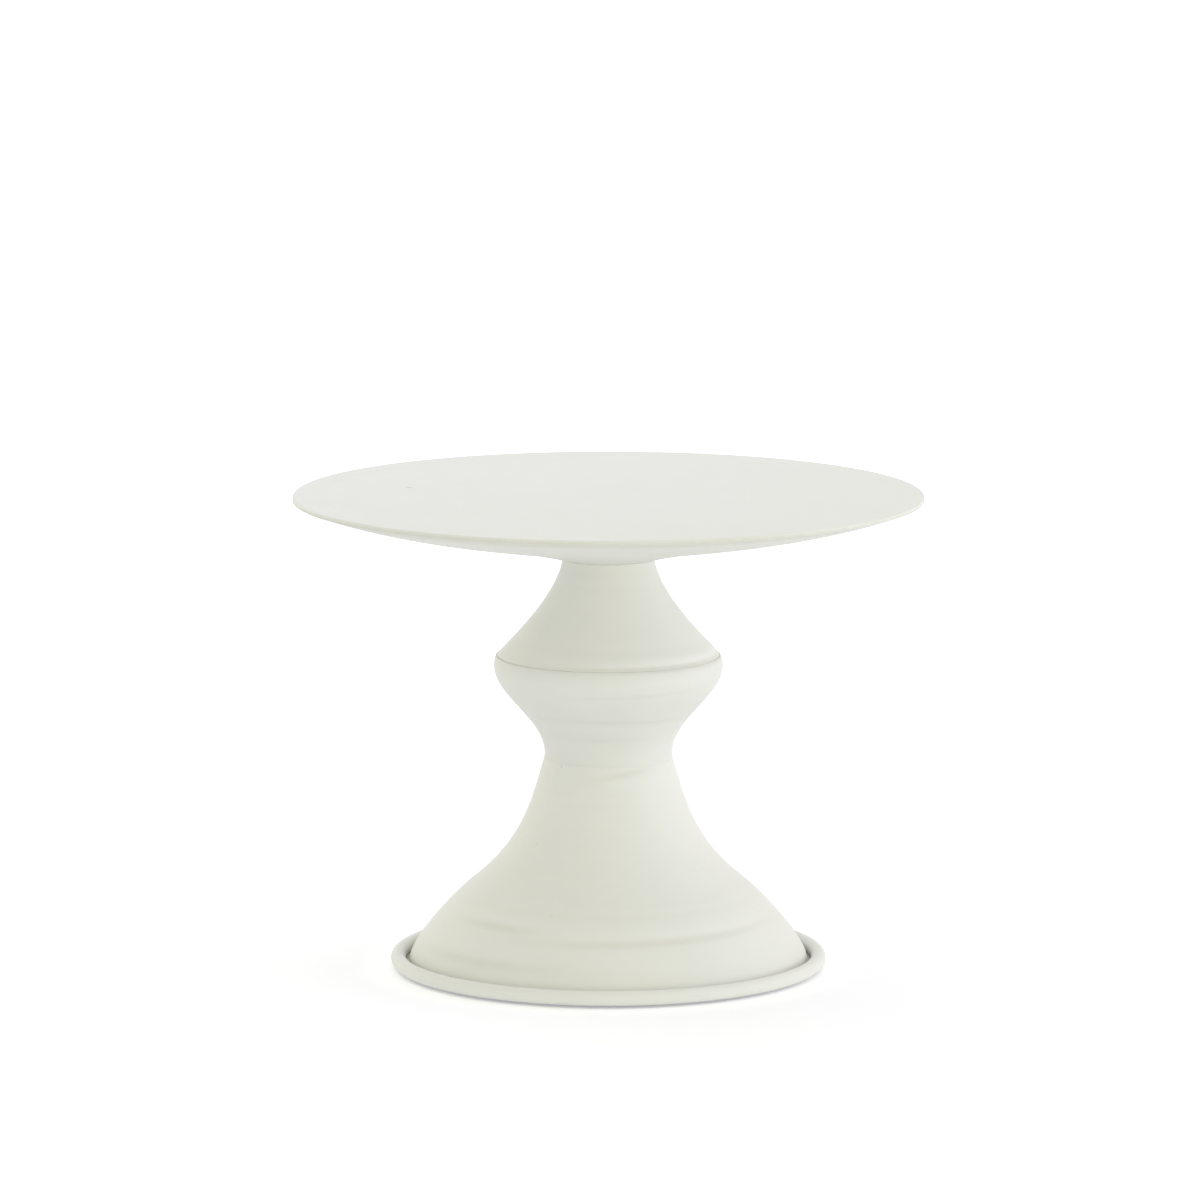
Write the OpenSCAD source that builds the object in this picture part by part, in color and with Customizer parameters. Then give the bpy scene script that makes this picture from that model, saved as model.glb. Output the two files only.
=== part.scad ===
// Round pedestal cake stand, made of thin spun sheet metal.
// A flat serving disc is hemmed over a shallow cone-shaped pan. Three hollow shells make the
// pedestal: neck and upper knop, lower knop and waist, and the wide skirt. The skirt stands in a
// shallow tray whose edge is rolled over a wire. One tie rod runs from the plate's hub down to a
// nut in a recess under the tray and clamps the whole stack.
// Millimetres, +Z up. The origin is the middle of the foot, on the table.

/* [Overall] */
// Diameter of the plate over its rim
plate_d = 300; // [230:1:400]
// Height of the serving surface above the table
stand_h = 228; // [175:1:320]
// Diameter of the foot over its rolled bead
foot_d = 208; // [160:1:280]

/* [Sheet and joints] */
// Thickness of the spun shells, the pan and the tray
sheet_t = 1; // [0.7:0.05:1.3]
// Gap between two sheets that slip into each other
lap_gap = 0.05; // [0.03:0.01:0.2]
// Length that one shell reaches into the next
lap_h = 5; // [2:0.1:7]
// Open line left between two shells, seen as a dark seam
seam_gap = 0.8; // [0.3:0.1:1.5]

/* [Plate] */
// Depth of the plate, from the serving surface down to its seat on the neck
plate_depth = 30.3; // [22:0.1:40]
// Thickness of the serving disc
disc_t = 1.2; // [0.8:0.05:1.6]
// Height of the disc's turned-down rim
rim_h = 2.2; // [2:0.1:4]
// Thickness of the turned-down rim
rim_t = 1; // [0.7:0.05:1.5]
// Radius of the flat seat in the middle of the pan
seat_r = 24; // [23:0.5:32]
// Slope of the pan where it leaves the seat, in degrees
pan_slope_in = 15; // [8:1:20]
// Slope of the pan under the rim, in degrees
pan_slope_out = 20; // [10:1:26]

/* [Pedestal] */
// Outer radius of the neck
neck_r = 22; // [18:0.1:23]
// Height of the neck and shoulder, from the neck's top down to the knop's widest line
neck_h = 50.8; // [38:0.1:65]
// Outer radius of the knop at its widest line
knop_r = 54.5; // [44:0.1:66]
// Lean of the shoulder where it meets the knop, in degrees from upright
shoulder_lean = 40; // [30:1:50]
// Height of the knop's lip above its widest line
knop_lip_h = 4.6; // [3:0.1:7]
// Distance that the lip's edge turns in from the widest line
knop_lip_in = 1; // [0.4:0.1:2]
// Distance that the shoulder's edge lies inside the lip's edge
seam_step = 0.7; // [0.2:0.1:1.5]
// Height from the knop's widest line down to the waist
knop_drop = 42.4; // [34:0.1:52]
// Outer radius of the waist
waist_r = 30.4; // [24:0.1:37]
// Height of the waist's lip, from the waist down to its seam
waist_lip_h = 2.2; // [1:0.1:5]
// Lean of the skirt at the waist seam, in degrees from upright
waist_lean = 18; // [8:1:26]

/* [Skirt and foot] */
// Width of the foot's round shoulder
shoulder_w = 28.9; // [21:0.1:35]
// Height of the foot's round shoulder
shoulder_h = 38.8; // [28:0.1:47]
// Lean of the skirt at the top of the round shoulder, in degrees from upright
flare_lean = 52; // [42:1:58]
// Open groove between the skirt's foot and the bead
groove_w = 1.8; // [1:0.1:4]
// Diameter of the rolled bead
bead_d = 7; // [5.5:0.1:10]
// Radius of the raised middle of the tray
recess_r = 24; // [18:0.5:32]
// Width of the sloping wall around the raised middle
recess_slope_w = 9; // [5:0.5:14]

/* [Tie rod and fasteners] */
// Diameter of the tie rod
rod_d = 8; // [5:0.1:10]
// Gap around the rod in its threads, on the radius
thread_gap = 0.05; // [0.03:0.01:0.1]
// Gap around the rod in the plain holes, on the radius
hole_gap = 0.5; // [0.2:0.1:1]
// Height of the rod's lower end above the table
rod_end_h = 1; // [0.5:0.1:3]
// Length of rod that shows below the nut
rod_tail = 1.1; // [0.3:0.1:3]
// Length of rod screwed into the hub
hub_thread_h = 16; // [8:1:18]
// Width across the flats of both nuts
nut_af = 13; // [12:0.1:17]
// Height of the nut under the tray
nut_h = 6.5; // [4:0.1:9]
// Height of the thin lock nut under the pan
lock_nut_h = 4; // [3:0.1:6]
// Thickness of the spring washer
spring_t = 2; // [1:0.1:3]
// Thickness of the plain washer
washer_t = 1.6; // [1:0.1:3]
// Diameter of the plain washer
washer_d = 24; // [18:0.5:30]

/* [Neck] */
// Thickness of the nylon washer between neck and pan
gasket_t = 0.5; // [0.3:0.1:2]
// Solid thickness of the neck cap below its nut pocket
cap_web = 4.5; // [2:0.1:8]
// Play around the lock nut in its pocket
nut_play = 1; // [0.5:0.1:2]
// Diameter of the hub's body
hub_d = 18; // [16:0.5:24]
// Thickness of the hub's two flanges
hub_flange_t = 3; // [1.5:0.1:5]
// Diameter of the hub's flange under the serving disc
hub_top_d = 32; // [22:1:44]

/* [Pads] */
// Number of pads under the tray
PAD_COUNT = 4; // [3:1:4]
// Thickness of a pad
pad_t = 1.2; // [0.6:0.1:3]
// Diameter of a pad
pad_d = 12; // [8:0.5:16]
// Distance of a pad's middle from the tray's middle
pad_pitch_r = 86; // [60:1:90]

/* [Hidden] */
$fn = 96;
CURVE_STEPS = 18;
ARC_STEPS = 24;
BEAD_END_DEG = 210;
EVEN_FULL = 0.33;
SPLIT_W = 1.5;

plate_r = plate_d / 2;
disc_z = stand_h - disc_t;
seat_z = stand_h - plate_depth;
neck_top_z = seat_z - gasket_t;
knop_z = neck_top_z - neck_h;
knop_seam_z = knop_z + knop_lip_h;
waist_z = knop_z - knop_drop;
waist_seam_z = waist_z - waist_lip_h;

lip_r = knop_r - knop_lip_in;
knop_spigot_r = lip_r - sheet_t - lap_gap;
waist_lip_r = waist_r + waist_lip_h * tan(waist_lean) / 2;
waist_spigot_r = waist_r - sheet_t - lap_gap;

floor_z = pad_t + sheet_t;
bead_r = bead_d / 2;
bead_pitch_r = foot_d / 2 - bead_r;
foot_r = bead_pitch_r - bead_r - groove_w;
flare_r = foot_r - shoulder_w;
flare_z = floor_z + shoulder_h;

rod_r = rod_d / 2;
thread_r = rod_r + thread_gap;
hole_r = rod_r + hole_gap;
nut_z = rod_end_h + rod_tail;
spring_z = nut_z + nut_h;
washer_z = spring_z + spring_t;
recess_z = washer_z + washer_t;
hub_z = seat_z + sheet_t;
nut_corner_r = nut_af / 2 / cos(30);
pocket_r = nut_corner_r + nut_play;
pocket_z = seat_z - lock_nut_h - nut_play / 2;
neck_bore_r = neck_r - sheet_t;

// Unit step along a wall that leans out by deg from straight down.
function along(deg) = [sin(deg), -cos(deg)];

// Smooth curve from a to b. It leaves and arrives at the given leans, and the two fullness
// values, as parts of the straight distance, say how far it keeps each lean.
function curve(a, a_deg, a_full, b, b_deg, b_full) =
    let (chord = norm(b - a),
         p = a + chord * a_full * along(a_deg),
         q = b - chord * b_full * along(b_deg))
    [for (i = [0:CURVE_STEPS]) let (t = i / CURVE_STEPS, s = 1 - t)
        s^3 * a + 3 * s^2 * t * p + 3 * s * t^2 * q + t^3 * b];

function arc(centre, r, from_deg, to_deg) =
    [for (i = [0:ARC_STEPS]) let (deg = from_deg + (to_deg - from_deg) * i / ARC_STEPS)
        centre + r * [cos(deg), sin(deg)]];

function without_first(line) = [for (i = [1:len(line) - 1]) line[i]];

// Outward normal of a line of points that runs down the wall.
function normal_at(line, i) =
    let (d = line[min(i + 1, len(line) - 1)] - line[max(i - 1, 0)])
    [-d[1], d[0]] / norm(d);

// Closed outline of a sheet: the line itself and a copy set in by the sheet's thickness.
function sheet(line, t) =
    concat(line, [for (i = [len(line) - 1:-1:0]) line[i] - t * normal_at(line, i)]);

module turned(outline) rotate_extrude() polygon(outline);

module ring(outer_r, inner_r, h) {
    difference() {
        cylinder(r = outer_r, h = h);
        translate([0, 0, -1]) cylinder(r = inner_r, h = h + 2);
    }
}

module hex_nut(h) {
    difference() {
        cylinder(r = nut_corner_r, h = h, $fn = 6);
        translate([0, 0, -1]) cylinder(r = thread_r, h = h + 2);
    }
}

// Flat serving disc with its edge turned down over the pan.
module plate_disc() {
    edge_r = 0.9;
    hem_r = 0.35;
    top_corner = [plate_r - edge_r, stand_h - edge_r];
    hem_corner = [plate_r - hem_r, stand_h - rim_h + hem_r];
    color("ivory") turned(concat(
        [[0, disc_z], [0, stand_h]],
        arc(top_corner, edge_r, 90, 0),
        arc(hem_corner, hem_r, 0, -90),
        [[plate_r - rim_t, stand_h - rim_h], [plate_r - rim_t, disc_z]]));
}

// Shallow cone under the disc, with a flat seat in the middle. Its rim stands up inside the hem.
module plate_pan() {
    rim_r = plate_r - rim_t - lap_gap;
    rim_corner = [rim_r, stand_h - rim_h - lap_gap * 4];
    seat_edge = [seat_r, seat_z];
    lean_in = 90 + pan_slope_in;
    lean_out = 90 + pan_slope_out;
    slope = curve(seat_edge, lean_in, EVEN_FULL, rim_corner, lean_out, EVEN_FULL);
    color("ivory") turned(sheet(concat([[hole_r, seat_z]], slope, [[rim_r, disc_z]]), -sheet_t));
}

// Spool between pan and disc: it carries the middle of the disc and holds the rod's thread.
module plate_hub() {
    hub_h = disc_z - hub_z;
    color("silver") difference() {
        translate([0, 0, hub_z]) union() {
            cylinder(d = hub_d, h = hub_h);
            cylinder(r = seat_r - 4, h = hub_flange_t);
            translate([0, 0, hub_h - hub_flange_t]) cylinder(d = hub_top_d, h = hub_flange_t);
        }
        translate([0, 0, hub_z - 1]) cylinder(r = thread_r, h = hub_thread_h + 3);
    }
}

// Thin nylon washer between the neck's rim and the pan.
module neck_gasket() {
    rim_inset = 0.3;
    color("white") translate([0, 0, neck_top_z]) ring(neck_r - rim_inset, pocket_r, gasket_t);
}

// Turned plug welded into the neck. Its pocket leaves room for the lock nut.
module neck_cap() {
    color("silver") difference() {
        translate([0, 0, pocket_z - cap_web])
            cylinder(r = neck_bore_r - lap_gap, h = neck_top_z - pocket_z + cap_web);
        translate([0, 0, pocket_z]) cylinder(r = pocket_r, h = lock_nut_h + 10);
        translate([0, 0, pocket_z - cap_web - 1]) cylinder(r = hole_r, h = cap_web + 2);
    }
}

// Neck and shoulder. Its lower edge steps in and slips inside the knop's lip.
module upper_shell() {
    collar = [neck_r, neck_top_z - 1];
    collar_lean = 12;
    neck_full = 0.35;
    edge = [lip_r - seam_step, knop_seam_z + seam_gap / 2];
    edge_full = 0.2;
    shoulder = curve(collar, collar_lean, neck_full, edge, shoulder_lean, edge_full);
    color("ivory") turned(sheet(concat(
        [[neck_r, neck_top_z]],
        shoulder,
        [[knop_spigot_r, knop_seam_z - seam_gap / 2], [knop_spigot_r, knop_seam_z - lap_h]]),
        sheet_t));
}

// Knop's lip, knop and waist in one curve that swells out, draws in and flares again.
module middle_shell() {
    lip_lean = 24;
    knop_full = 0.3;
    waist_full = 0.35;
    knop = [knop_r, knop_z];
    waist = [waist_r, waist_z];
    tail_end = [waist_lip_r, waist_seam_z];
    lip = curve([lip_r, knop_seam_z], lip_lean, EVEN_FULL, knop, 0, EVEN_FULL);
    ogee = curve(knop, 0, knop_full, waist, 0, waist_full);
    tail = curve(waist, 0, EVEN_FULL, tail_end, waist_lean, EVEN_FULL);
    color("ivory") turned(sheet(concat(lip, without_first(ogee), without_first(tail)), sheet_t));
}

// Long flare from the waist seam and the foot's round shoulder, ending upright on the tray.
module skirt_shell() {
    top = [waist_lip_r, waist_seam_z - seam_gap];
    flare = [flare_r, flare_z];
    toe = [foot_r, floor_z + 1.2];
    waist_full = 0.25;
    flare_full = 0.5;
    shoulder_full = 0.15;
    toe_full = 0.2;
    long_flare = curve(top, waist_lean, waist_full, flare, flare_lean, flare_full);
    round_shoulder = curve(flare, flare_lean, shoulder_full, toe, 0, toe_full);
    color("ivory") turned(sheet(concat(
        [[waist_spigot_r, waist_seam_z + lap_h], [waist_spigot_r, waist_seam_z - seam_gap / 2]],
        long_flare,
        without_first(round_shoulder),
        [[foot_r, floor_z]]),
        sheet_t));
}

// Floor under the skirt, raised in the middle for the nut, with its edge curled into a bead.
module foot_tray() {
    bead = [bead_pitch_r, pad_t + bead_r];
    slope_r = recess_r + recess_slope_w;
    color("ivory") turned(concat(
        [[hole_r, recess_z], [recess_r, recess_z], [slope_r, pad_t]],
        arc(bead, bead_r, -90, BEAD_END_DEG),
        arc(bead, bead_r - sheet_t, BEAD_END_DEG, -90),
        [[slope_r + sheet_t, floor_z], [recess_r + sheet_t, recess_z + sheet_t],
         [hole_r, recess_z + sheet_t]]));
}

// Wire that the tray's edge is rolled over.
module bead_wire() {
    color("gray") rotate_extrude() translate([bead_pitch_r, pad_t + bead_r])
        circle(r = bead_r - sheet_t - lap_gap * 2);
}

// Rod from the hub to below the nut, chamfered at both ends.
module tie_rod() {
    chamfer = 0.8;
    rod_top = hub_z + hub_thread_h;
    color("silver") turned([
        [0, rod_end_h], [rod_r - chamfer, rod_end_h], [rod_r, rod_end_h + chamfer],
        [rod_r, rod_top - chamfer], [rod_r - chamfer, rod_top], [0, rod_top]]);
}

// Thin nut that locks the rod in the hub, tight against the pan.
module rod_lock_nut() {
    color("silver") translate([0, 0, seat_z - lock_nut_h]) hex_nut(lock_nut_h);
}

module base_washer() {
    color("silver") translate([0, 0, washer_z]) ring(washer_d / 2, hole_r, washer_t);
}

// Split ring, open at one place.
module spring_washer() {
    ring_r = nut_af / 2 + 0.7;
    color("silver") translate([0, 0, spring_z]) difference() {
        ring(ring_r, rod_r + hole_gap / 2, spring_t);
        translate([0, -SPLIT_W / 2, -1]) cube([ring_r + 1, SPLIT_W, spring_t + 2]);
    }
}

module base_nut() {
    color("silver") translate([0, 0, nut_z]) hex_nut(nut_h);
}

// One stick-on pad. The pads share a circle and start halfway between the axes.
module foot_pad(index) {
    color("dimgray") rotate([0, 0, 45 + 360 * index / PAD_COUNT]) translate([pad_pitch_r, 0, 0])
        cylinder(d = pad_d, h = pad_t);
}

plate_disc();
plate_pan();
plate_hub();
neck_gasket();
neck_cap();
upper_shell();
middle_shell();
skirt_shell();
foot_tray();
bead_wire();
tie_rod();
rod_lock_nut();
base_washer();
spring_washer();
base_nut();
foot_pad(0);  // foot_pad_1
foot_pad(1);  // foot_pad_2
foot_pad(2);  // foot_pad_3
foot_pad(3);  // foot_pad_4
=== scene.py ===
import math

import bmesh
import bpy
import numpy as np
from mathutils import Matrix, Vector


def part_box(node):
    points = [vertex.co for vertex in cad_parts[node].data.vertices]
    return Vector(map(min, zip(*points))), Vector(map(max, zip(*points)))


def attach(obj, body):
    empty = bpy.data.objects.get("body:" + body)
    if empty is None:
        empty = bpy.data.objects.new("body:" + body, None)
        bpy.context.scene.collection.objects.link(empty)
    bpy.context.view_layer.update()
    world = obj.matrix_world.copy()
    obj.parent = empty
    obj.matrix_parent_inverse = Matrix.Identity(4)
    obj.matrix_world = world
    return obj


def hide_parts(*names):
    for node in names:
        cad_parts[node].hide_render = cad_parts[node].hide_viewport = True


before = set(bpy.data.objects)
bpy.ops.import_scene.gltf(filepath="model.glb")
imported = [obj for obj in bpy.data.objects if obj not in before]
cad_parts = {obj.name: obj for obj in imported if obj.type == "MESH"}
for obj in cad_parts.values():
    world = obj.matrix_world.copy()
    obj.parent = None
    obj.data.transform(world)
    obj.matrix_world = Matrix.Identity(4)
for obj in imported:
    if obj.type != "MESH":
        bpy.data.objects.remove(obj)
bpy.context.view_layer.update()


# ---------------------------------------------------------------------------------------
# Foot tray
# The floor of the stand: one disc of thin steel sheet, pressed up in the middle to clear
# the nut, with its edge rolled over a wire into a round bead. The skirt stands inside the
# bead. It is powder coated matte off-white, like all the spun sheets above it.
# ---------------------------------------------------------------------------------------

def reach(node):
    """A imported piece's largest radius, its lowest and its highest level, in millimetres."""
    low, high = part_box(node)
    return high.x * 1000, low.z * 1000, high.z * 1000


def eased(corners, radius, steps=4):
    """A line of (radius, level) points with its inner corners rounded off."""
    corners = [np.array(c, float) for c in corners]
    line = [corners[0]]
    for before, corner, after in zip(corners, corners[1:], corners[2:]):
        to_before, to_after = before - corner, after - corner
        len_before, len_after = np.linalg.norm(to_before), np.linalg.norm(to_after)
        cosine = np.dot(to_before, to_after) / (len_before * len_after)
        half_angle = math.acos(max(-1.0, min(1.0, cosine))) / 2
        cut = min(radius / math.tan(half_angle), 0.48 * len_before, 0.48 * len_after)
        start = corner + to_before * cut / len_before
        end = corner + to_after * cut / len_after
        for i in range(steps + 1):
            t = i / steps
            line.append((1 - t) ** 2 * start + 2 * t * (1 - t) * corner + t * t * end)
    line.append(corners[-1])
    return line


def round_line(middle, radius, from_deg, to_deg, steps):
    """Points along an arc in the (radius, level) plane."""
    turn = np.radians(np.linspace(from_deg, to_deg, steps + 1))
    return [np.array([middle[0] + radius * math.cos(a), middle[1] + radius * math.sin(a)])
            for a in turn]


def turned_piece(name, radius, level, poles=False):
    """Closed mesh turned round the stand's axis. Both arrays hold one row for each point
    of the outline and one column for each step of the turn, in millimetres. With poles,
    the first and the last row lie on the axis."""
    rows, columns = radius.shape
    turn = np.linspace(0, 2 * math.pi, columns, endpoint=False)
    points = np.stack([radius * np.cos(turn), radius * np.sin(turn), level], 2) / 1000
    faces = []
    if poles:
        ring_rows = range(1, rows - 2)
        points = np.concatenate([points[0, :1], points[1:-1].reshape(-1, 3), points[-1, :1]])
        last = len(points) - 1

        def at(row, column):
            return 1 + (row - 1) * columns + column % columns

        for c in range(columns):
            faces.append((0, at(1, c), at(1, c + 1)))
            faces.append((last, at(rows - 2, c + 1), at(rows - 2, c)))
    else:
        ring_rows = range(rows)
        points = points.reshape(-1, 3)

        def at(row, column):
            return row % rows * columns + column % columns

    for r in ring_rows:
        for c in range(columns):
            faces.append((at(r, c), at(r + 1, c), at(r + 1, c + 1), at(r, c + 1)))
    return closed_piece(name, points, faces)


def closed_piece(name, points, faces, sharp_deg=35):
    """Mesh object with its faces turned outwards and only its real edges kept sharp."""
    mesh = bpy.data.meshes.new(name)
    mesh.from_pydata([tuple(p) for p in points], [], faces)
    work = bmesh.new()
    work.from_mesh(mesh)
    bmesh.ops.recalc_face_normals(work, faces=work.faces)
    work.to_mesh(mesh)
    work.free()
    mesh.shade_smooth()
    mesh.set_sharp_from_angle(angle=math.radians(sharp_deg))
    piece = bpy.data.objects.new(name, mesh)
    bpy.context.scene.collection.objects.link(piece)
    return piece


class Tooling:
    """What the spinning tool leaves in a sheet: fine rings all the way round, and single
    rings where it dwelt. Such a ring is given by its level, half its width, its depth, the
    side its middle is on, how far it spreads from there, and how much it climbs in a quarter
    turn. Sides and spreads are in degrees and the rest in millimetres. A groove has a depth
    below 0, and a depth runs along the sheet's outward side."""

    def __init__(self, seed, fine=0.02, rings=()):
        draw = np.random.default_rng(seed)
        self.rings = rings
        self.waves = [(fine * draw.uniform(0.5, 1.0), draw.uniform(3.5, 11.0),
                       draw.uniform(0, 6.28), draw.uniform(0.2, 0.9), draw.uniform(0, 6.28))
                      for _ in range(6)]

    def depth(self, along, level, side):
        """Along runs down the sheet, and side is in degrees to the right of the front."""
        total = np.zeros(np.broadcast(along, level, side).shape)
        for deep, pitch, phase, wander, start in self.waves:
            turn = wander * np.sin(np.radians(side) + start)
            total = total + deep * np.cos(2 * math.pi * along / pitch + phase + turn)
        for ring_level, half_width, deep, middle, spread, slant in self.rings:
            off = (side - middle + 180) % 360 - 180
            seat = ring_level + slant * off / 90
            total = total + deep * np.exp(-((level - seat) / half_width) ** 2
                                          - 0.5 * (off / spread) ** 2)
        return total


def spun_sheet(name, line, thickness, tooling, columns=256, grain=1.0, edge=0.2):
    """Sheet whose one face follows the line of (radius, level) points, with the other face
    set off by the thickness and both cut edges rounded. The grain is the longest step along
    the line, and the edge is the rounding of a cut edge."""
    near = 0.12
    line = np.array(line, float)
    lengths = np.linalg.norm(np.diff(line, axis=0), axis=1)
    line = line[np.concatenate([[True], lengths > 1e-6])]
    lengths = lengths[lengths > 1e-6]
    mark = np.concatenate([[0], np.cumsum(lengths)])
    stations = [edge]
    for start, length in zip(mark[:-1], lengths):
        count = math.ceil(length / grain)
        stations += [start + length * i / count for i in range(1, count + 1)]
    stations = np.array([s for s in stations if edge <= s < mark[-1] - edge * 1.5])
    stations = np.append(stations, mark[-1] - edge)

    def on_line(s):
        return np.stack([np.interp(s, mark, line[:, 0]), np.interp(s, mark, line[:, 1])], 1)

    face = on_line(stations)
    ahead = on_line(stations + near) - on_line(stations - near)
    out = np.stack([-ahead[:, 1], ahead[:, 0]], 1)
    out /= np.linalg.norm(out, axis=1)[:, None]

    def cut_edge(point, onward, side_out):
        """Rounded end of the sheet, from this face to the other one."""
        corner_1 = point + onward * edge
        corner_2 = corner_1 - side_out * thickness
        path = eased([point, corner_1, corner_2, corner_2 - onward * edge], edge * 0.99, 3)
        return path[1:-1]

    first_way = -(face[1] - face[0]) / np.linalg.norm(face[1] - face[0])
    last_way = (face[-1] - face[-2]) / np.linalg.norm(face[-1] - face[-2])
    bottom = np.array(cut_edge(face[-1], last_way, out[-1]))
    top = np.array(cut_edge(face[0], first_way, out[0]))[::-1]
    outline = np.concatenate([face, bottom, (face - thickness * out)[::-1], top])
    push = np.concatenate([out, np.repeat(out[-1:], len(bottom), 0), out[::-1],
                           np.repeat(out[:1], len(top), 0)])
    along = np.concatenate([stations, np.repeat(stations[-1], len(bottom)), stations[::-1],
                            np.repeat(stations[0], len(top))])
    level = np.concatenate([face[:, 1], np.repeat(face[-1, 1], len(bottom)), face[::-1, 1],
                            np.repeat(face[0, 1], len(top))])
    side = np.degrees(np.linspace(0, 2 * math.pi, columns, endpoint=False)) + 90
    deep = tooling.depth(along[:, None], level[:, None], side[None, :])
    radius = outline[:, :1] + push[:, :1] * deep
    height = outline[:, 1:] + push[:, 1:] * deep
    return turned_piece(name, radius, height)


class Field:
    """A value that changes over a surface. Sums on it are written as plain expressions."""

    def __init__(self, finish, socket):
        self.finish = finish
        self.socket = socket

    def sum(self, operation, a, b):
        return self.finish.node("ShaderNodeMath", {"operation": operation}, {0: a, 1: b})

    def __add__(self, other):
        return self.sum("ADD", self, other)

    def __sub__(self, other):
        return self.sum("SUBTRACT", self, other)

    def __rsub__(self, other):
        return self.sum("SUBTRACT", other, self)

    def __mul__(self, other):
        return self.sum("MULTIPLY", self, other)

    def __truediv__(self, other):
        return self.sum("DIVIDE", self, other)

    def __rtruediv__(self, other):
        return self.sum("DIVIDE", other, self)

    def __pow__(self, other):
        return self.sum("POWER", self, other)

    def __rpow__(self, other):
        return self.sum("POWER", other, self)

    __radd__ = __add__
    __rmul__ = __mul__


class Finish:
    """One finish of the stand: a shader with constant values, and nodes for what varies."""

    def __init__(self, name, **constants):
        self.material = bpy.data.materials.new(name)
        self.material.use_nodes = True
        self.tree = self.material.node_tree
        self.shader = self.tree.nodes["Principled BSDF"]
        for socket, value in constants.items():
            self.shader.inputs[socket.replace("_", " ")].default_value = value

    def node(self, kind, settings=None, sockets=None, output=0):
        """Adds one node, sets it up, feeds its sockets and gives back one of its outputs."""
        made = self.tree.nodes.new(kind)
        for setting, value in (settings or {}).items():
            setattr(made, setting, value)
        for socket, value in (sockets or {}).items():
            self.feed(made.inputs[socket], value)
        return Field(self, made.outputs[output])

    def feed(self, socket, value):
        """Links a value that varies to a socket, or sets a constant one on it."""
        if isinstance(value, Field):
            self.tree.links.new(value.socket, socket)
        else:
            socket.default_value = value

    def shade(self, socket, value):
        """Feeds one of the shader's own sockets with a value that varies."""
        self.feed(self.shader.inputs[socket], value)

    def place(self):
        """The point on the stand, in metres."""
        return self.node("ShaderNodeTexCoord", output="Object")

    def axis_place(self):
        """The point's distance from the stand's axis and its level, in metres."""
        point = self.place()
        parts = [self.node("ShaderNodeSeparateXYZ", sockets={0: point}, output=i)
                 for i in range(3)]
        return (parts[0] * parts[0] + parts[1] * parts[1]) ** 0.5, parts[2]

    def side(self):
        """How far round the stand the point is, in degrees to the right of the front."""
        parts = [self.node("ShaderNodeSeparateXYZ", sockets={0: self.place()}, output=i)
                 for i in range(2)]
        return self.node("ShaderNodeMath", {"operation": "ARCTAN2"},
                         {0: parts[0], 1: parts[1] * -1}) * math.degrees(1)

    def cloud(self, point, grain_mm, detail=2.0, roughness=0.5):
        """Soft noise from 0 to 1 with patches of about that size."""
        return self.node("ShaderNodeTexNoise", {"noise_dimensions": "3D"},
                         {"Vector": point, "Scale": 1000 / grain_mm, "Detail": detail,
                          "Roughness": roughness})

    def tint(self, share, at_0, at_1):
        """A colour between two, by a share that varies."""
        return self.node("ShaderNodeMix", {"data_type": "RGBA", "clamp_factor": True},
                         {0: share, 6: at_0, 7: at_1}, output=2)

    def relief(self, height, depth_mm):
        """Bump from a height of 0 to 1 that stands for so many millimetres."""
        return self.node("ShaderNodeBump", {}, {"Height": height, "Strength": 1.0,
                                                "Distance": depth_mm / 1000})


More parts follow.
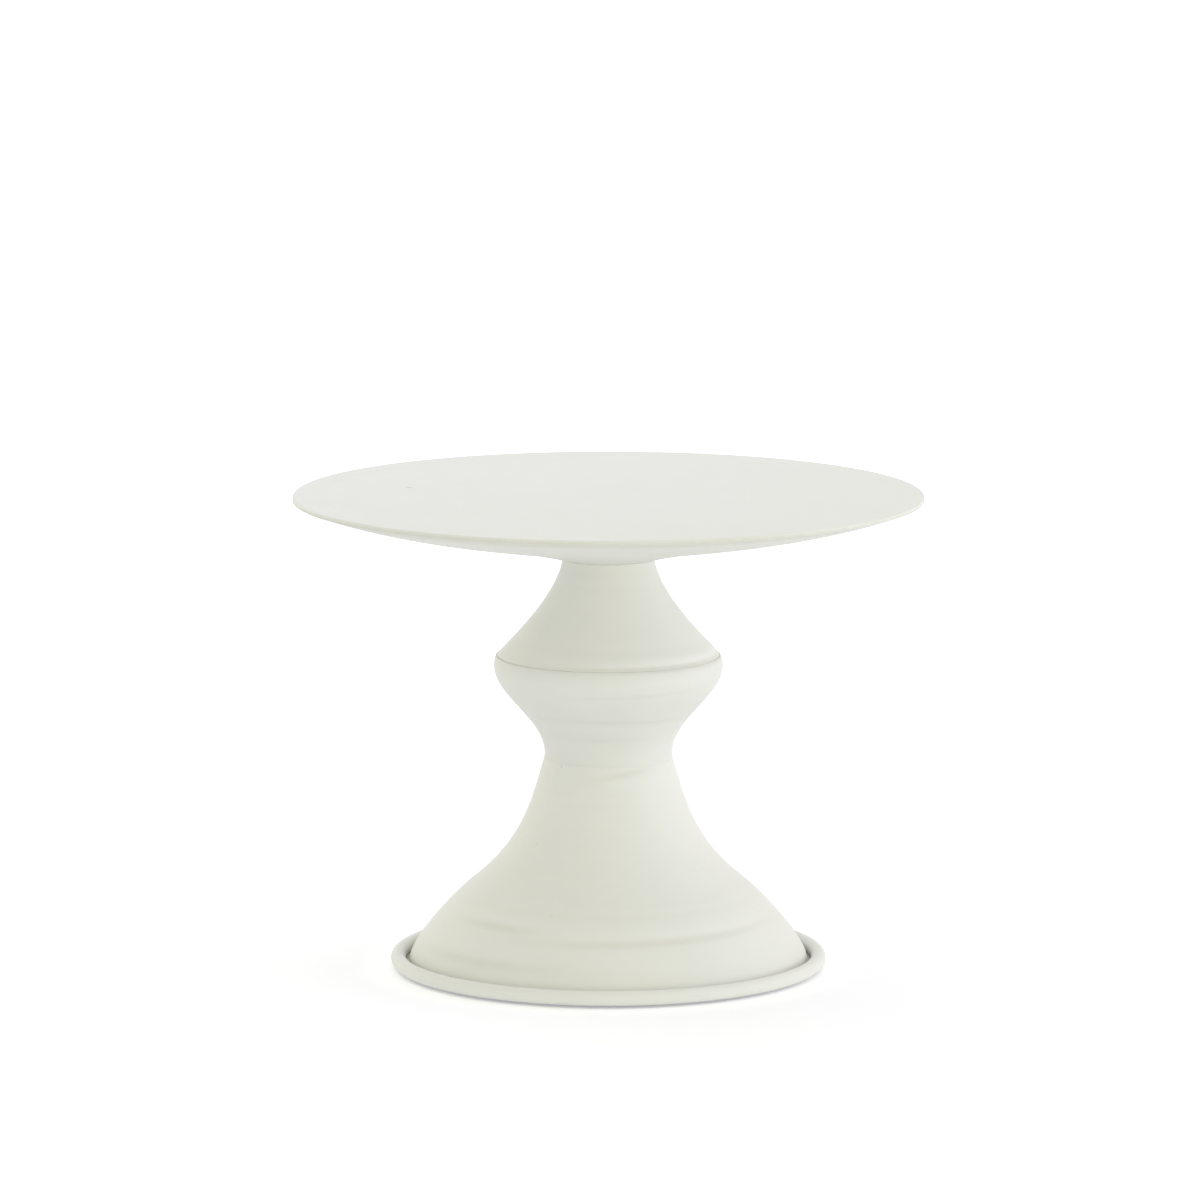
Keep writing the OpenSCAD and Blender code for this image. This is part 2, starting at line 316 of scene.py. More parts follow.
def white_coat(name, chips=(), rings=(), painted_tone=1.0):
    """Matte off-white powder coat. Its skin has a fine orange-peel texture, and the spinning
    lines of the sheet show faintly through. Chips are specks where it has broken, each given
    by its place and size in millimetres and its strength. Along the rings the coat is tinted:
    darker in the grooves, partly dust and partly painted shade, and lighter on the ridges, a
    painted highlight. The painted tone lightens or darkens a whole sheet as painted light."""
    dust_and_painted_shade, painted_highlight = (0.47, 0.47, 0.38, 1), (0.86, 0.86, 0.84, 1)
    broken = (0.33, 0.32, 0.27, 1)
    tint_per_mm, most_tint = 0.9, 0.45
    speck_middle, speck_edge, speck_depth, speck_rough = 0.28, 0.62, 1.5, 0.2
    skin_mm = 0.035
    coat = Finish(name, Specular_IOR_Level=0.35, IOR=1.5)
    point = coat.place()
    radius, level = coat.axis_place()
    lines_at = coat.node("ShaderNodeCombineXYZ", {}, {0: radius, 1: level, 2: 0.0})
    drift = coat.cloud(point, 45, detail=3.0)
    mottle = coat.cloud(point, 9, detail=3.0, roughness=0.6)
    skin = coat.cloud(point, 1.1, detail=2.0, roughness=0.55)
    grit = coat.cloud(point, 0.35, detail=1.0)
    lines = coat.cloud(lines_at, 1.6, detail=3.0, roughness=0.65)
    shade = 0.45 * drift + 0.30 * mottle + 0.12 * skin + 0.13 * lines
    darker, lighter = (0.700, 0.706, 0.660), (0.752, 0.756, 0.720)
    # The painted tone scales this sheet's whole colour as painted light or painted shade.
    colour = coat.tint(shade, tuple(c * painted_tone for c in darker) + (1,),
                       tuple(c * painted_tone for c in lighter) + (1,))
    rough = 0.50 + 0.16 * mottle + 0.08 * skin
    height = 0.62 * skin + 0.22 * lines + 0.16 * grit
    side = coat.side()
    patchy = 0.55 + 0.9 * mottle
    # Painted shade, with some dust, darkens the coat along each groove; a painted highlight
    # lightens it along each ridge.
    for ring_level, half_width, deep, middle, spread, slant in rings:
        off = side - middle
        from_ring = (level * 1000 - ring_level - off * (slant / 90)) / half_width
        spread_out = off / spread
        here = coat.node("ShaderNodeMath", {"operation": "EXPONENT"},
                         {0: (from_ring * from_ring + 0.5 * spread_out * spread_out) * -1})
        share = here * patchy * min(most_tint, abs(deep) * tint_per_mm)
        colour = coat.tint(share, colour, dust_and_painted_shade if deep < 0 else painted_highlight)
    for (x, y, z), size_mm, strength in chips:
        gap = coat.node("ShaderNodeVectorMath", {"operation": "DISTANCE"},
                        {0: point, 1: (x / 1000, y / 1000, z / 1000)}, output=1)
        ragged = gap * (0.75 + 0.5 * coat.cloud(point, 0.6))
        speck = coat.node("ShaderNodeMapRange", {"interpolation_type": "SMOOTHSTEP"},
                          {"Value": ragged, "From Min": speck_middle * size_mm / 1000,
                           "From Max": speck_edge * size_mm / 1000,
                           "To Min": strength, "To Max": 0.0})
        colour = coat.tint(speck, colour, broken)
        height = height - speck_depth * speck
        rough = rough + speck_rough * speck
    coat.shade("Base Color", colour)
    coat.shade("Roughness", rough)
    coat.shade("Normal", coat.relief(height, skin_mm))
    return coat.material


def finished(piece, material, slot, *nodes):
    """Gives a piece its finish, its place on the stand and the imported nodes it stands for."""
    piece.data.materials.clear()
    piece.data.materials.append(material)
    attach(piece, "root")
    if nodes:
        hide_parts(*nodes)


sheet_t = 1.0
bead_r = 3.5
bead_end_deg = 210
bore_r = 4.5
recess_r = 24
recess_wall_r = 33
press_round_r = 2.5
floor_to_bead = 8
tray_r, tray_low, tray_high = reach("foot_tray")

bead_middle = (tray_r - bead_r, tray_low + bead_r)
tray_floor = eased([(bore_r, tray_high - sheet_t), (recess_r, tray_high - sheet_t),
                    (recess_wall_r, tray_low), (bead_middle[0] - floor_to_bead, tray_low)],
                   press_round_r)
tray_bead = round_line(bead_middle, bead_r, -90, bead_end_deg, 40)
tray = spun_sheet("tray", tray_floor + tray_bead, -sheet_t,
                  Tooling(11, fine=0.008), grain=1.5)
tray_coat = white_coat("tray white powder coat")
finished(tray, tray_coat, "white_coat", "foot_tray")


# ---------------------------------------------------------------------------------------
# Bead wire
# A ring of plain drawn steel wire inside the rolled edge. It stiffens the tray's rim and
# is held by the sheet curled round it.
# ---------------------------------------------------------------------------------------

def bare_steel(name, colour, roughness, line_mm, vary=0.12):
    """Bare steel with the fine lines of its drawing or turning and a little tarnish."""
    steel = Finish(name, Metallic=1.0)
    point = steel.place()
    radius, level = steel.axis_place()
    lines_at = steel.node("ShaderNodeCombineXYZ", {}, {0: radius, 1: level, 2: 0.0})
    lines = steel.cloud(lines_at, line_mm, detail=4.0, roughness=0.7)
    tarnish = steel.cloud(point, 7, detail=4.0, roughness=0.6)
    dark = tuple(c * (1 - vary) for c in colour) + (1,)
    steel.shade("Base Color", steel.tint(0.6 * tarnish + 0.4 * lines, dark, colour + (1,)))
    steel.shade("Roughness", roughness - 0.1 + 0.14 * lines + 0.1 * tarnish)
    steel.shade("Normal", steel.relief(lines, 0.012))
    return steel.material


drawn_steel = bare_steel("drawn steel wire", (0.46, 0.45, 0.43), 0.42, 0.5)
finished(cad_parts["bead_wire"], drawn_steel, "plain_steel")


# ---------------------------------------------------------------------------------------
# Foot pads
# Four thin rubber discs stuck under the tray, so that the stand doesn't scratch the table.
# They are punched from sheet, with a slightly domed and softened lower edge.
# ---------------------------------------------------------------------------------------

def black_rubber():
    """Dense grey-black rubber with a pebbled skin, lighter where it has rubbed."""
    rubber = Finish("pad rubber", Specular_IOR_Level=0.4)
    point = rubber.place()
    pebble = rubber.node("ShaderNodeTexVoronoi", {"feature": "SMOOTH_F1"},
                         {"Vector": point, "Scale": 1000 / 0.5, "Smoothness": 0.6})
    rubbed = rubber.cloud(point, 4, detail=4.0, roughness=0.65)
    rubber.shade("Base Color", rubber.tint(rubbed, (0.020, 0.020, 0.021, 1),
                                           (0.052, 0.051, 0.049, 1)))
    rubber.shade("Roughness", 0.62 + 0.25 * rubbed)
    rubber.shade("Normal", rubber.relief(pebble, 0.05))
    return rubber.material


def even_piece(name, outline, columns, poles=False):
    """Turned piece whose outline is the same all the way round."""
    outline = np.array(outline)
    return turned_piece(name, np.repeat(outline[:, :1], columns, 1),
                        np.repeat(outline[:, 1:], columns, 1), poles)


rubber = black_rubber()
pad_columns = 64
pad_edge = 0.1
pad_dome = 0.02
pad_dome_in = 0.5
pad_round_r = 0.25
for number in range(1, 5):
    low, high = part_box(f"foot_pad_{number}")
    pad_x, pad_y = (low.x + high.x) / 2, (low.y + high.y) / 2
    pad_r, pad_t = (high.x - low.x) * 500, high.z * 1000
    pad_side = eased([(0, pad_t), (pad_r - pad_edge, pad_t), (pad_r, pad_t * 0.4),
                      (pad_r - pad_dome_in, pad_dome), (0, 0)], pad_round_r)
    pad = even_piece(f"pad_{number}", pad_side, pad_columns, poles=True)
    for vertex in pad.data.vertices:
        vertex.co.x += pad_x
        vertex.co.y += pad_y
    finished(pad, rubber, "pad_rubber", f"foot_pad_{number}")


# ---------------------------------------------------------------------------------------
# Skirt
# The wide lower part of the pedestal, spun over a former from one disc of steel sheet. It
# flares from the waist to a round shoulder and stands upright on the tray. Its narrow top
# slips up inside the waist's lip, where the joint is filled and coated over.
# ---------------------------------------------------------------------------------------

def wall_line(start, start_lean, start_full, end, end_lean, end_full, steps=40):
    """Smooth wall between two (radius, level) points. A lean is in degrees out from
    straight down; a fullness says for how much of the way that lean is kept."""
    start, end = np.array(start, float), np.array(end, float)
    chord = np.linalg.norm(end - start)
    lean_a, lean_b = math.radians(start_lean), math.radians(end_lean)
    hold_a = start + chord * start_full * np.array([math.sin(lean_a), -math.cos(lean_a)])
    hold_b = end - chord * end_full * np.array([math.sin(lean_b), -math.cos(lean_b)])
    t = np.linspace(0, 1, steps + 1)[:, None]
    s = 1 - t
    return list(s ** 3 * start + 3 * s * s * t * hold_a + 3 * s * t * t * hold_b
                + t ** 3 * end)


lap_gap = 0.05
lap_h = 5.0
waist_r = 30.4
waist_lip_h = 2.2
waist_lean = 18
foot_r, skirt_low, skirt_high = reach("skirt_shell")
filled_h = 0.8
fillet_r = 0.15
shoulder_in, shoulder_h = 28.9, 38.8
flare_lean = 52
toe_h = 1.2
waist_seam_z = skirt_high - lap_h
waist_lip_r = waist_r + waist_lip_h * math.tan(math.radians(waist_lean)) / 2
waist_spigot_r = waist_r - sheet_t - lap_gap
flare_top = (waist_lip_r, waist_seam_z - filled_h)
flare_end = (foot_r - shoulder_in, skirt_low + shoulder_h)
toe = (foot_r, skirt_low + toe_h)
skirt_line = (
    eased([(waist_spigot_r, skirt_high), (waist_spigot_r, waist_seam_z + 0.2),
           (waist_lip_r - 0.3, waist_seam_z - 0.05), (waist_lip_r, waist_seam_z - 0.5),
           flare_top], fillet_r)
    + wall_line(flare_top, waist_lean, 0.25, flare_end, flare_lean, 0.5, 70)[1:]
    + wall_line(flare_end, flare_lean, 0.15, toe, 0, 0.2, 60)[1:]
    + [np.array([foot_r, skirt_low])])
skirt_rings = (
    (97.9, 1.6, -0.20, 12, 20, 8.5),
    (94.6, 2.0, 0.08, 40, 40, 0.0),
    (36.7, 1.6, -0.05, 0, 70, 0.0),
    (30.1, 1.8, 0.16, 22, 32, 0.5),
    (26.4, 1.6, -0.26, 20, 30, 1.6),
    (33.4, 1.8, 0.11, -43, 14, 0.0),
    (30.0, 1.7, -0.26, -43, 12, 0.0),
    (14.8, 2.3, -0.22, -42, 22, 0.0),
)
skirt = spun_sheet("skirt", skirt_line, sheet_t, Tooling(23, 0.016, skirt_rings), grain=1.0)


def on_wall(line, side_deg, level):
    """The point on a spun wall at that level, so many degrees to the right of the front."""
    below = [i for i in range(len(line) - 1) if line[i][1] >= level >= line[i + 1][1]]
    i = max(below, key=lambda k: line[k][0])
    share = (line[i][1] - level) / max(line[i][1] - line[i + 1][1], 1e-6)
    radius = line[i][0] + share * (line[i + 1][0] - line[i][0])
    turn = math.radians(side_deg)
    return radius * math.sin(turn), -radius * math.cos(turn), level


skirt_coat = white_coat("skirt white powder coat", chips=(
    (on_wall(skirt_line, -46, 100.6), 1.1, 0.35),
    (on_wall(skirt_line, -50, 64.5), 1.0, 0.25),
    (on_wall(skirt_line, -22, 36.6), 1.0, 0.22),
    (on_wall(skirt_line, -3, 5.2), 1.6, 0.8)), rings=skirt_rings)
finished(skirt, skirt_coat, "white_coat", "skirt_shell")


# ---------------------------------------------------------------------------------------
# Knop and waist
# The middle shell, spun in one piece: a short lip that takes the shoulder above, the knop,
# the wall drawn in to the waist, and a small flare that laps over the skirt's top.
# ---------------------------------------------------------------------------------------

lip_r = 53.5
lip_lean = 24
knop_r, middle_low, middle_high = reach("middle_shell")
lip_to_knop = 4.6
knop_z = middle_high - lip_to_knop
waist_z = middle_low + waist_lip_h
middle_line = (
    wall_line((lip_r, middle_high), lip_lean, 0.33, (knop_r, knop_z), 0, 0.33, 10)
    + wall_line((knop_r, knop_z), 0, 0.3, (waist_r, waist_z), 0, 0.35, 60)[1:]
    + wall_line((waist_r, waist_z), 0, 0.33,
                (waist_lip_r, middle_low), waist_lean, 0.33, 6)[1:])
middle_rings = (
    (150.6, 0.9, -0.22, 45, 50, 0.0),
    (144.5, 2.4, 0.05, 40, 60, 0.0),
    (138.6, 1.0, -0.13, 16, 24, 2.4),
    (124.6, 1.1, -0.15, 5, 34, -1.6),
    (120.7, 1.8, 0.08, 10, 50, 0.0),
    (115.0, 1.2, -0.09, -10, 26, 0.4),
)
middle = spun_sheet("knop_and_waist", middle_line, sheet_t,
                    Tooling(37, 0.014, middle_rings), columns=192, grain=0.9, edge=0.45)
# The knop's coat is painted a little darker: painted shade against the light it gets from
# below.
middle_coat = white_coat("knop white powder coat", rings=middle_rings, painted_tone=0.965)
finished(middle, middle_coat, "white_coat", "middle_shell")


# ---------------------------------------------------------------------------------------
# Neck and shoulder
# The upper shell, spun as a narrow neck that sweeps out to a sloping shoulder. Its lower
# edge steps in and slips inside the knop's lip, which leaves a fine open line all round.
# ---------------------------------------------------------------------------------------

neck_r = 22
neck_edge_h = 1
neck_lean = 12
shoulder_lean = 40
seam_gap = 0.5
seam_step = 0.7
seam_round_r = 0.2
shoulder_edge = (lip_r - seam_step, middle_high + seam_gap / 2)
spigot_r = lip_r - sheet_t - lap_gap
neck_top = reach("upper_shell")[2]
upper_line = (
    [np.array([neck_r, neck_top])]
    + wall_line((neck_r, neck_top - neck_edge_h), neck_lean, 0.35,
                shoulder_edge, shoulder_lean, 0.2, 60)
    + eased([(shoulder_edge[0] + 0.15, middle_high),
             (shoulder_edge[0] - 0.02, middle_high - 0.4),
             (spigot_r, middle_high - 0.9), (spigot_r, middle_high - lap_h)], seam_round_r))
upper_rings = (
    # The wide faint ring at 194 mm is the plate's shadow on the top of the neck, painted into
    # the coat as a darker band.
    (194.0, 5.0, -0.09, -30, 60, 0.0),
    (186.0, 1.3, -0.06, -20, 50, 0.0),
    (158.6, 2.0, -0.04, 15, 60, 0.0),
    (154.8, 1.8, 0.34, 48, 42, 0.0),
    (152.0, 0.9, -0.34, 45, 50, 0.0),
)
upper = spun_sheet("neck_and_shoulder", upper_line, sheet_t,
                   Tooling(41, 0.014, upper_rings), columns=192, grain=0.9)
# The neck's coat is painted a little lighter: painted light against the plate's shadow on it.
upper_coat = white_coat("neck white powder coat", rings=upper_rings, painted_tone=1.04)
finished(upper, upper_coat, "white_coat", "upper_shell")


# ---------------------------------------------------------------------------------------
# Neck cap and washer
# A turned steel plug welded into the neck's top, with a pocket for the lock nut, and a
# thin washer of natural nylon on it that keeps coat from grinding against coat.
# ---------------------------------------------------------------------------------------

turned_steel = bare_steel("turned steel", (0.55, 0.54, 0.52), 0.36, 0.35)
finished(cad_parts["neck_cap"], turned_steel, "plain_steel")

nylon = Finish("natural nylon", Specular_IOR_Level=0.45)
nylon_point = nylon.place()
flow = nylon.cloud(nylon_point, 5, detail=3.0)
scuff = nylon.cloud(nylon_point, 0.6, detail=4.0, roughness=0.7)
nylon.shade("Base Color", nylon.tint(0.7 * flow + 0.3 * scuff, (0.66, 0.66, 0.60, 1),
                                     (0.74, 0.74, 0.69, 1)))
nylon.shade("Roughness", 0.42 + 0.25 * scuff)
nylon.shade("Normal", nylon.relief(scuff, 0.02))
finished(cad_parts["neck_gasket"], nylon.material, "washer_nylon")


# ---------------------------------------------------------------------------------------
# Tie rod
# One steel rod down the middle of the stand, with a rolled thread at both ends. It screws
# into the plate's hub and takes the nut under the tray, and so clamps the whole stack.
# ---------------------------------------------------------------------------------------

rod_columns = 32
thread_pitch = 1.25
thread_depth = 0.55
thread_length = 24
thread_run_out = 2
thread_end_gap = 0.5
thread_flank = 1.25
root_flat = 0.12
rod_chamfer = 0.8
rod_r, rod_low, rod_high = reach("tie_rod")
rod_step = thread_pitch / 8
lower_thread = np.arange(rod_low, rod_low + thread_length, rod_step)
upper_thread = np.arange(rod_high - thread_length, rod_high, rod_step)
plain_middle = np.linspace(rod_low + thread_length + thread_end_gap,
                           rod_high - thread_length - thread_end_gap, 12)
levels = np.concatenate([lower_thread, plain_middle, upper_thread, [rod_high]])
turn_share = np.arange(rod_columns) / rod_columns
ridge = np.abs((levels[:, None] / thread_pitch - turn_share[None, :]) % 1 - 0.5) * 2
to_end = np.minimum(levels - rod_low, rod_high - levels)[:, None]
threaded = np.clip((thread_length - to_end) / thread_run_out, 0, 1)
rod_radius = rod_r - thread_depth * threaded * np.clip(thread_flank * ridge - root_flat, 0, 1)
rod_radius = np.minimum(rod_radius, rod_r - rod_chamfer + to_end)
rod_radius = np.concatenate([np.zeros((1, rod_columns)), rod_radius,
                             np.zeros((1, rod_columns))])
rod_levels = np.concatenate([[rod_low], levels, [rod_high]])
rod = turned_piece("threaded_tie_rod", rod_radius,
                   np.repeat(rod_levels[:, None], rod_columns, 1), poles=True)
rod_steel = bare_steel("zinc plated rod", (0.62, 0.62, 0.60), 0.34, 0.6)
finished(rod, rod_steel, "plated_steel", "tie_rod")


# ---------------------------------------------------------------------------------------
# Nuts
# Two hexagon nuts with chamfered corners, zinc plated: a thin one that locks the rod in the
# hub, and a full one under the tray that pulls the stack together.
# ---------------------------------------------------------------------------------------

def hexagon_nut(name, node):
    """Nut with turned chamfers on both faces, in the place of a packed nut."""
    columns, thread_play, thread_chamfer, corner_slope = 96, 0.05, 0.6, 1.75
    rises = (0.15, 0.35, 0.6, 0.9, 1.2)
    low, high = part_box(node)
    flats_r = min(high.x, high.y) * 1000
    bottom, top = low.z * 1000, high.z * 1000
    thread_r = rod_r + thread_play
    mouth_r = thread_r + thread_chamfer
    turn = np.linspace(0, 360, columns, endpoint=False)
    hexagon = flats_r / np.cos(np.radians((turn + (30 if high.y < high.x else 0)) % 60 - 30))
    rows = []
    face_r = flats_r * 0.96
    for r, z in ((thread_r, bottom + thread_chamfer), (mouth_r, bottom), (face_r, bottom)):
        rows.append((np.full(columns, r), np.full(columns, z)))
    for rise, z in ([(rise, bottom + rise) for rise in rises]
                    + [(rise, top - rise) for rise in reversed(rises)]):
        rows.append((np.minimum(hexagon, face_r + rise * corner_slope), np.full(columns, z)))
    for r, z in ((face_r, top), (mouth_r, top), (thread_r, top - thread_chamfer)):
        rows.append((np.full(columns, r), np.full(columns, z)))
    radius = np.array([r for r, _ in rows])
    level = np.array([z for _, z in rows])
    return turned_piece(name, radius, level)


zinc = bare_steel("zinc plating", (0.66, 0.66, 0.64), 0.32, 0.8, vary=0.2)
lock_nut = hexagon_nut("lock_nut", "rod_lock_nut")
finished(lock_nut, zinc, "plated_steel", "rod_lock_nut")
clamp_nut = hexagon_nut("clamp_nut", "base_nut")
finished(clamp_nut, zinc, "plated_steel", "base_nut")


# ---------------------------------------------------------------------------------------
# Washers
# A plain washer punched from plate, rounded on the side it was punched from, and under it a
# split spring washer of square wire that keeps the nut from working loose.
# ---------------------------------------------------------------------------------------

def ring_section(inner_r, outer_r, low, high, round_r, steps=4):
    """Outline of a flat ring's section with eased corners, begun and ended in its bore."""
    start = (inner_r, (low + high) / 2)
    return np.array(eased([start, (inner_r, low), (outer_r, low), (outer_r, high),
                           (inner_r, high), start], round_r, steps))[:-1]


washer_columns = 96
washer_round_r = 0.3
washer_r, washer_low, washer_high = reach("base_washer")
washer_section = ring_section(bore_r, washer_r, washer_low, washer_high, washer_round_r)
washer = even_piece("plain_washer", washer_section, washer_columns)
finished(washer, zinc, "plated_steel", "base_washer")

spring_r, spring_low, spring_high = reach("spring_washer")
spring_bore_r = 4.25
spring_round_r = 0.25
split_half_deg = 7
section = ring_section(spring_bore_r, spring_r, spring_low, spring_high, spring_round_r, 3)
spring_turn = np.radians(np.linspace(split_half_deg, 360 - split_half_deg, 81))
spring_points = [(r * math.cos(a) / 1000, r * math.sin(a) / 1000, z / 1000)
                 for a in spring_turn for r, z in section]
around = len(section)
spring_faces = [tuple(range(around)),
                tuple(range((len(spring_turn) - 1) * around, len(spring_turn) * around))]
for i in range(len(spring_turn) - 1):
    for k in range(around):
        here, beside = i * around + k, i * around + (k + 1) % around
        spring_faces.append((here, here + around, beside + around, beside))
spring = closed_piece("split_washer", spring_points, spring_faces)
finished(spring, zinc, "plated_steel", "spring_washer")


# ---------------------------------------------------------------------------------------
# Hub
# A turned spool between the pan and the serving disc. It carries the middle of the disc and
# holds the rod's thread, and is welded to the pan before the disc is hemmed on.
# ---------------------------------------------------------------------------------------

finished(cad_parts["plate_hub"], turned_steel, "plain_steel")


# ---------------------------------------------------------------------------------------
# Plate pan
# The shallow cone under the plate, spun from sheet, with a flat seat in the middle that
# stands on the neck. Its edge turns up inside the disc's hem.
# ---------------------------------------------------------------------------------------

hole_r = 4.5
seat_r = 24
seat_bend, seat_rise = 1.5, 0.1
seat_lean, rim_lean = 105, 110
upturn_h = 1.2
pan_r, pan_low, pan_high = reach("plate_pan")
pan_rim = (pan_r, pan_high - upturn_h)
pan_line = (
    [np.array([hole_r, pan_low]), np.array([seat_r - seat_bend, pan_low])]
    + wall_line((seat_r, pan_low + seat_rise), seat_lean, 0.33, pan_rim, rim_lean, 0.33, 110)
    + [np.array([pan_r, pan_high])])
all_round = 400
pan_rings = (
    (204.5, 1.2, 0.05, 0, all_round, 0.0),
    (213.5, 1.0, -0.04, 10, 90, 0.0),
    (220.5, 1.0, 0.04, 0, all_round, 0.0),
)
pan = spun_sheet("plate_pan_shell", pan_line, -sheet_t, Tooling(53, 0.010, pan_rings),
                 grain=1.3)
hem_z = pan_high - 1.5
# Painted shade under the disc's hem: a darker band on the pan just below it, all round and
# stronger on the left.
hem_shade_z = hem_z - 0.6
pan_painted_shade = (
    (hem_shade_z, 1.6, -0.16, 0, all_round, 0.0),
    (hem_shade_z, 1.6, -0.18, -35, 50, 0.0),
)
# The pan's coat is painted a little darker: painted shade on the plate's underside.
pan_coat = white_coat("pan white powder coat", rings=pan_painted_shade, painted_tone=0.955)
finished(pan, pan_coat, "white_coat", "plate_pan")


# ---------------------------------------------------------------------------------------
# Serving disc
# The flat top, cut from thicker sheet, with its edge turned down and hemmed tight over the
# pan's rim. It is flat to a few hundredths of a millimetre, with faint rings from its
# finishing, and is powder coated with the rest.
# ---------------------------------------------------------------------------------------

disc_columns = 256
disc_t = 1.2
rim_t = 1.0
rim_round_r = 0.9
hem_round_r = 0.35
hem_bevel = 0.1
calm_rim = 6
calm_middle = 8
disc_r, disc_low, disc_high = reach("plate_disc")
disc_under = disc_high - disc_t
disc_tooling = Tooling(61, 0.010)

top_flat_r = disc_r - rim_round_r
top_radii = np.concatenate([[0], np.linspace(1.5, top_flat_r, 120)])
rim_top = round_line((top_flat_r, disc_high - rim_round_r), rim_round_r, 90, 0, 8)[1:]
rim_low = round_line((disc_r - hem_round_r, disc_low + hem_round_r), hem_round_r, 0, -90, 5)
rim_inside = [(disc_r - rim_t + hem_bevel, disc_low),
              (disc_r - rim_t, disc_low + hem_bevel), (disc_r - rim_t, disc_under)]
under_radii = np.linspace(disc_r - rim_t - 2, 4, 40)
disc_outline = np.array(
    [(r, disc_high) for r in top_radii] + rim_top + rim_low + rim_inside
    + [(r, disc_under) for r in under_radii] + [(0, disc_under)])
side = np.degrees(np.linspace(0, 2 * math.pi, disc_columns, endpoint=False)) + 90
from_middle = disc_outline[:, :1]
sink = disc_tooling.depth(from_middle, disc_outline[:, 1:], side[None, :])
sink = sink - np.abs(sink).max()
calm = (np.clip((top_flat_r - from_middle) / calm_rim, 0, 1)
        * np.clip(from_middle / calm_middle, 0, 1))
disc_level = disc_outline[:, 1:] + sink * calm * (disc_outline[:, 1:] > disc_under + 0.01)
disc = turned_piece("serving_disc", np.repeat(from_middle, disc_columns, 1), disc_level,
                    poles=True)
# Painted shade at the bottom of the disc's hem: a darker band all round, stronger on the left.
rim_shade_z = disc_low + 0.6
rim_painted_shade = (
    (rim_shade_z, 1.1, -0.34, 0, all_round, 0.0),
    (rim_shade_z, 1.1, -0.16, -35, 50, 0.0),
)
disc_coat = white_coat("disc white powder coat", chips=(
    ((-95, 23, disc_high), 3.4, 0.40),
    ((-89, -27, disc_high), 2.2, 0.14)), rings=rim_painted_shade)
finished(disc, disc_coat, "white_coat", "plate_disc")


# ---------------------------------------------------------------------------------------
# Table, light and camera
# A wide sheet of white paper in a pale room. It glows by itself, and that glow is painted
# light:
# brighter under the tray's bead, where it lifts the contact shadow, weakest round the stand,
# and brightest far off. A small softbox is close above on the left, two panels stand on the
# right and three behind. The camera stands in front and looks down a little.
# ---------------------------------------------------------------------------------------

table_r = 10.0
table_mesh = bpy.data.meshes.new("table")
table_shape = bmesh.new()
bmesh.ops.create_circle(table_shape, cap_ends=True, segments=96, radius=table_r)
table_shape.to_mesh(table_mesh)
table_shape.free()
table = bpy.data.objects.new("table", table_mesh)
bpy.context.scene.collection.objects.link(table)

paper = Finish("white paper", Base_Color=(0.97, 0.97, 0.97, 1), Roughness=0.9,
               Specular_IOR_Level=0.0, Emission_Strength=1.0)
from_stand = paper.axis_place()[0]


def beyond(start_m, end_m):
    """How far a point of the table has come on its way between two distances, 0 to 1."""
    return paper.node("ShaderNodeMapRange", {"interpolation_type": "SMOOTHSTEP"},
                      {"Value": from_stand, "From Min": start_m, "From Max": end_m,
                       "To Min": 0.0, "To Max": 1.0})


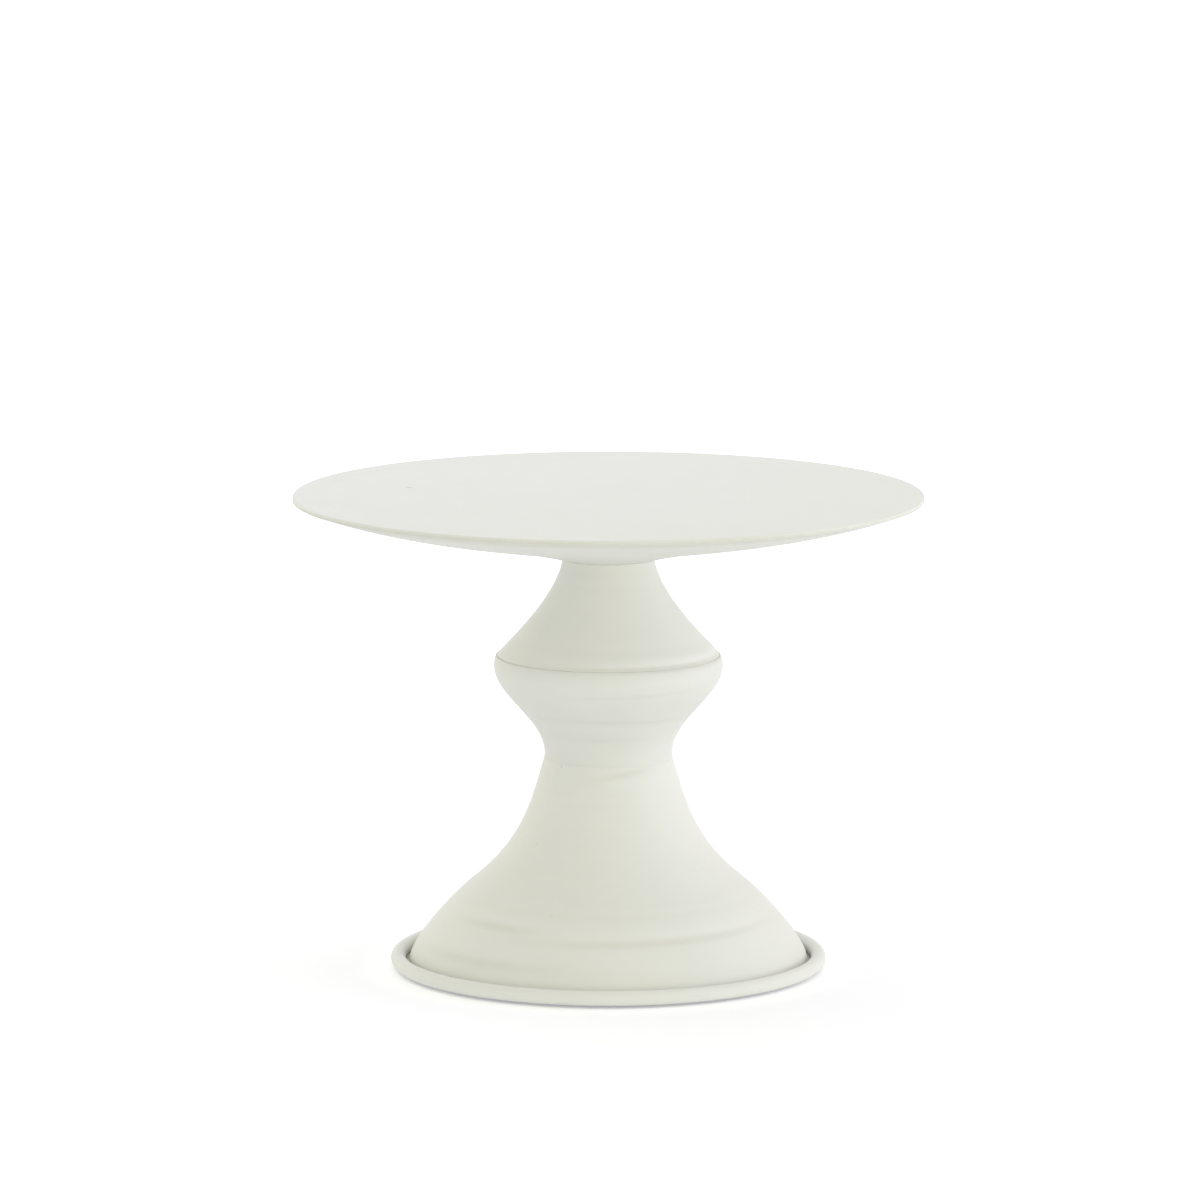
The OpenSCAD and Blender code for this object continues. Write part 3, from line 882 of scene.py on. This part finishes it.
# Painted light: the paper glows more under the bead to lift the contact shadow there.
bead_shadow_fill = (0.15, 0.15, 0.17, 1)
round_stand = (0.055, 0.055, 0.095, 1)
far_off = (0.30, 0.30, 0.38, 1)
foot_edge_m, past_foot_m = 0.104, 0.125
near_m, far_m = 0.5, 1.8
painted_floor_light = paper.tint(beyond(foot_edge_m, past_foot_m), bead_shadow_fill, round_stand)
paper.shade("Emission Color", paper.tint(beyond(near_m, far_m), painted_floor_light, far_off))
table_clear = paper.node("ShaderNodeBsdfTransparent")
facing = paper.node("ShaderNodeNewGeometry", output="Backfacing")
table_shown = paper.node("ShaderNodeMixShader", {}, {
    0: facing, 1: Field(paper, paper.shader.outputs[0]), 2: table_clear})
paper.feed(paper.tree.nodes["Material Output"].inputs["Surface"], table_shown)
table_mesh.materials.append(paper.material)


def softbox(name, towards_deg, height_deg, size, watts, tint, distance=2.5):
    """A soft light that faces the stand's middle. Its direction is in degrees to the right of
    the front and up from the table, and its size is its width and height in metres."""
    aim_height = 0.12
    lamp = bpy.data.lights.new(name, "AREA")
    lamp.shape = "RECTANGLE"
    lamp.size, lamp.size_y = size
    lamp.energy = watts
    lamp.color = tint
    holder = bpy.data.objects.new(name, lamp)
    side_turn, up_turn = math.radians(towards_deg), math.radians(height_deg)
    holder.location = (distance * math.sin(side_turn) * math.cos(up_turn),
                       -distance * math.cos(side_turn) * math.cos(up_turn),
                       distance * math.sin(up_turn) + aim_height)
    holder.rotation_euler = (math.pi / 2 - up_turn, 0, side_turn)
    holder.visible_camera = False
    bpy.context.scene.collection.objects.link(holder)


panel = (1.6, 1.6)
softbox("softbox above", -90, 66, (0.8, 0.8), 1.2, (0.68, 0.69, 1.0), distance=1.1)
softbox("panel right", 90, 18, panel, 14.5, (0.65, 0.61, 1.0))
softbox("low panel right", 45, 3.5, (1.9, 0.5), 6.8, (0.94, 1.0, 0.62))
softbox("panel right behind", 135, 18, panel, 4.2, (1.0, 0.93, 0.80))
softbox("panel left behind", -135, 18, panel, 6.0, (1.0, 0.92, 0.50))
softbox("panel behind", -172, 18, panel, 11.0, (0.56, 0.56, 1.0))

room = bpy.data.worlds.new("pale room")
room.use_nodes = True
room_light = room.node_tree.nodes["Background"]
room_light.inputs["Color"].default_value = (0.884, 0.886, 0.795, 1)
room_light.inputs["Strength"].default_value = 1.0
bpy.context.scene.world = room
bpy.context.scene.view_settings.view_transform = "Standard"

camera_tilt_deg = 8.8855
camera_data = bpy.data.cameras.new("camera")
camera_data.lens = 248.694
camera_data.sensor_width = 36
camera = bpy.data.objects.new("camera", camera_data)
camera.location = (-0.0040, -3.8946, 0.7861)
camera.rotation_euler = (math.radians(90 - camera_tilt_deg), 0, 0)
bpy.context.scene.collection.objects.link(camera)
bpy.context.scene.camera = camera
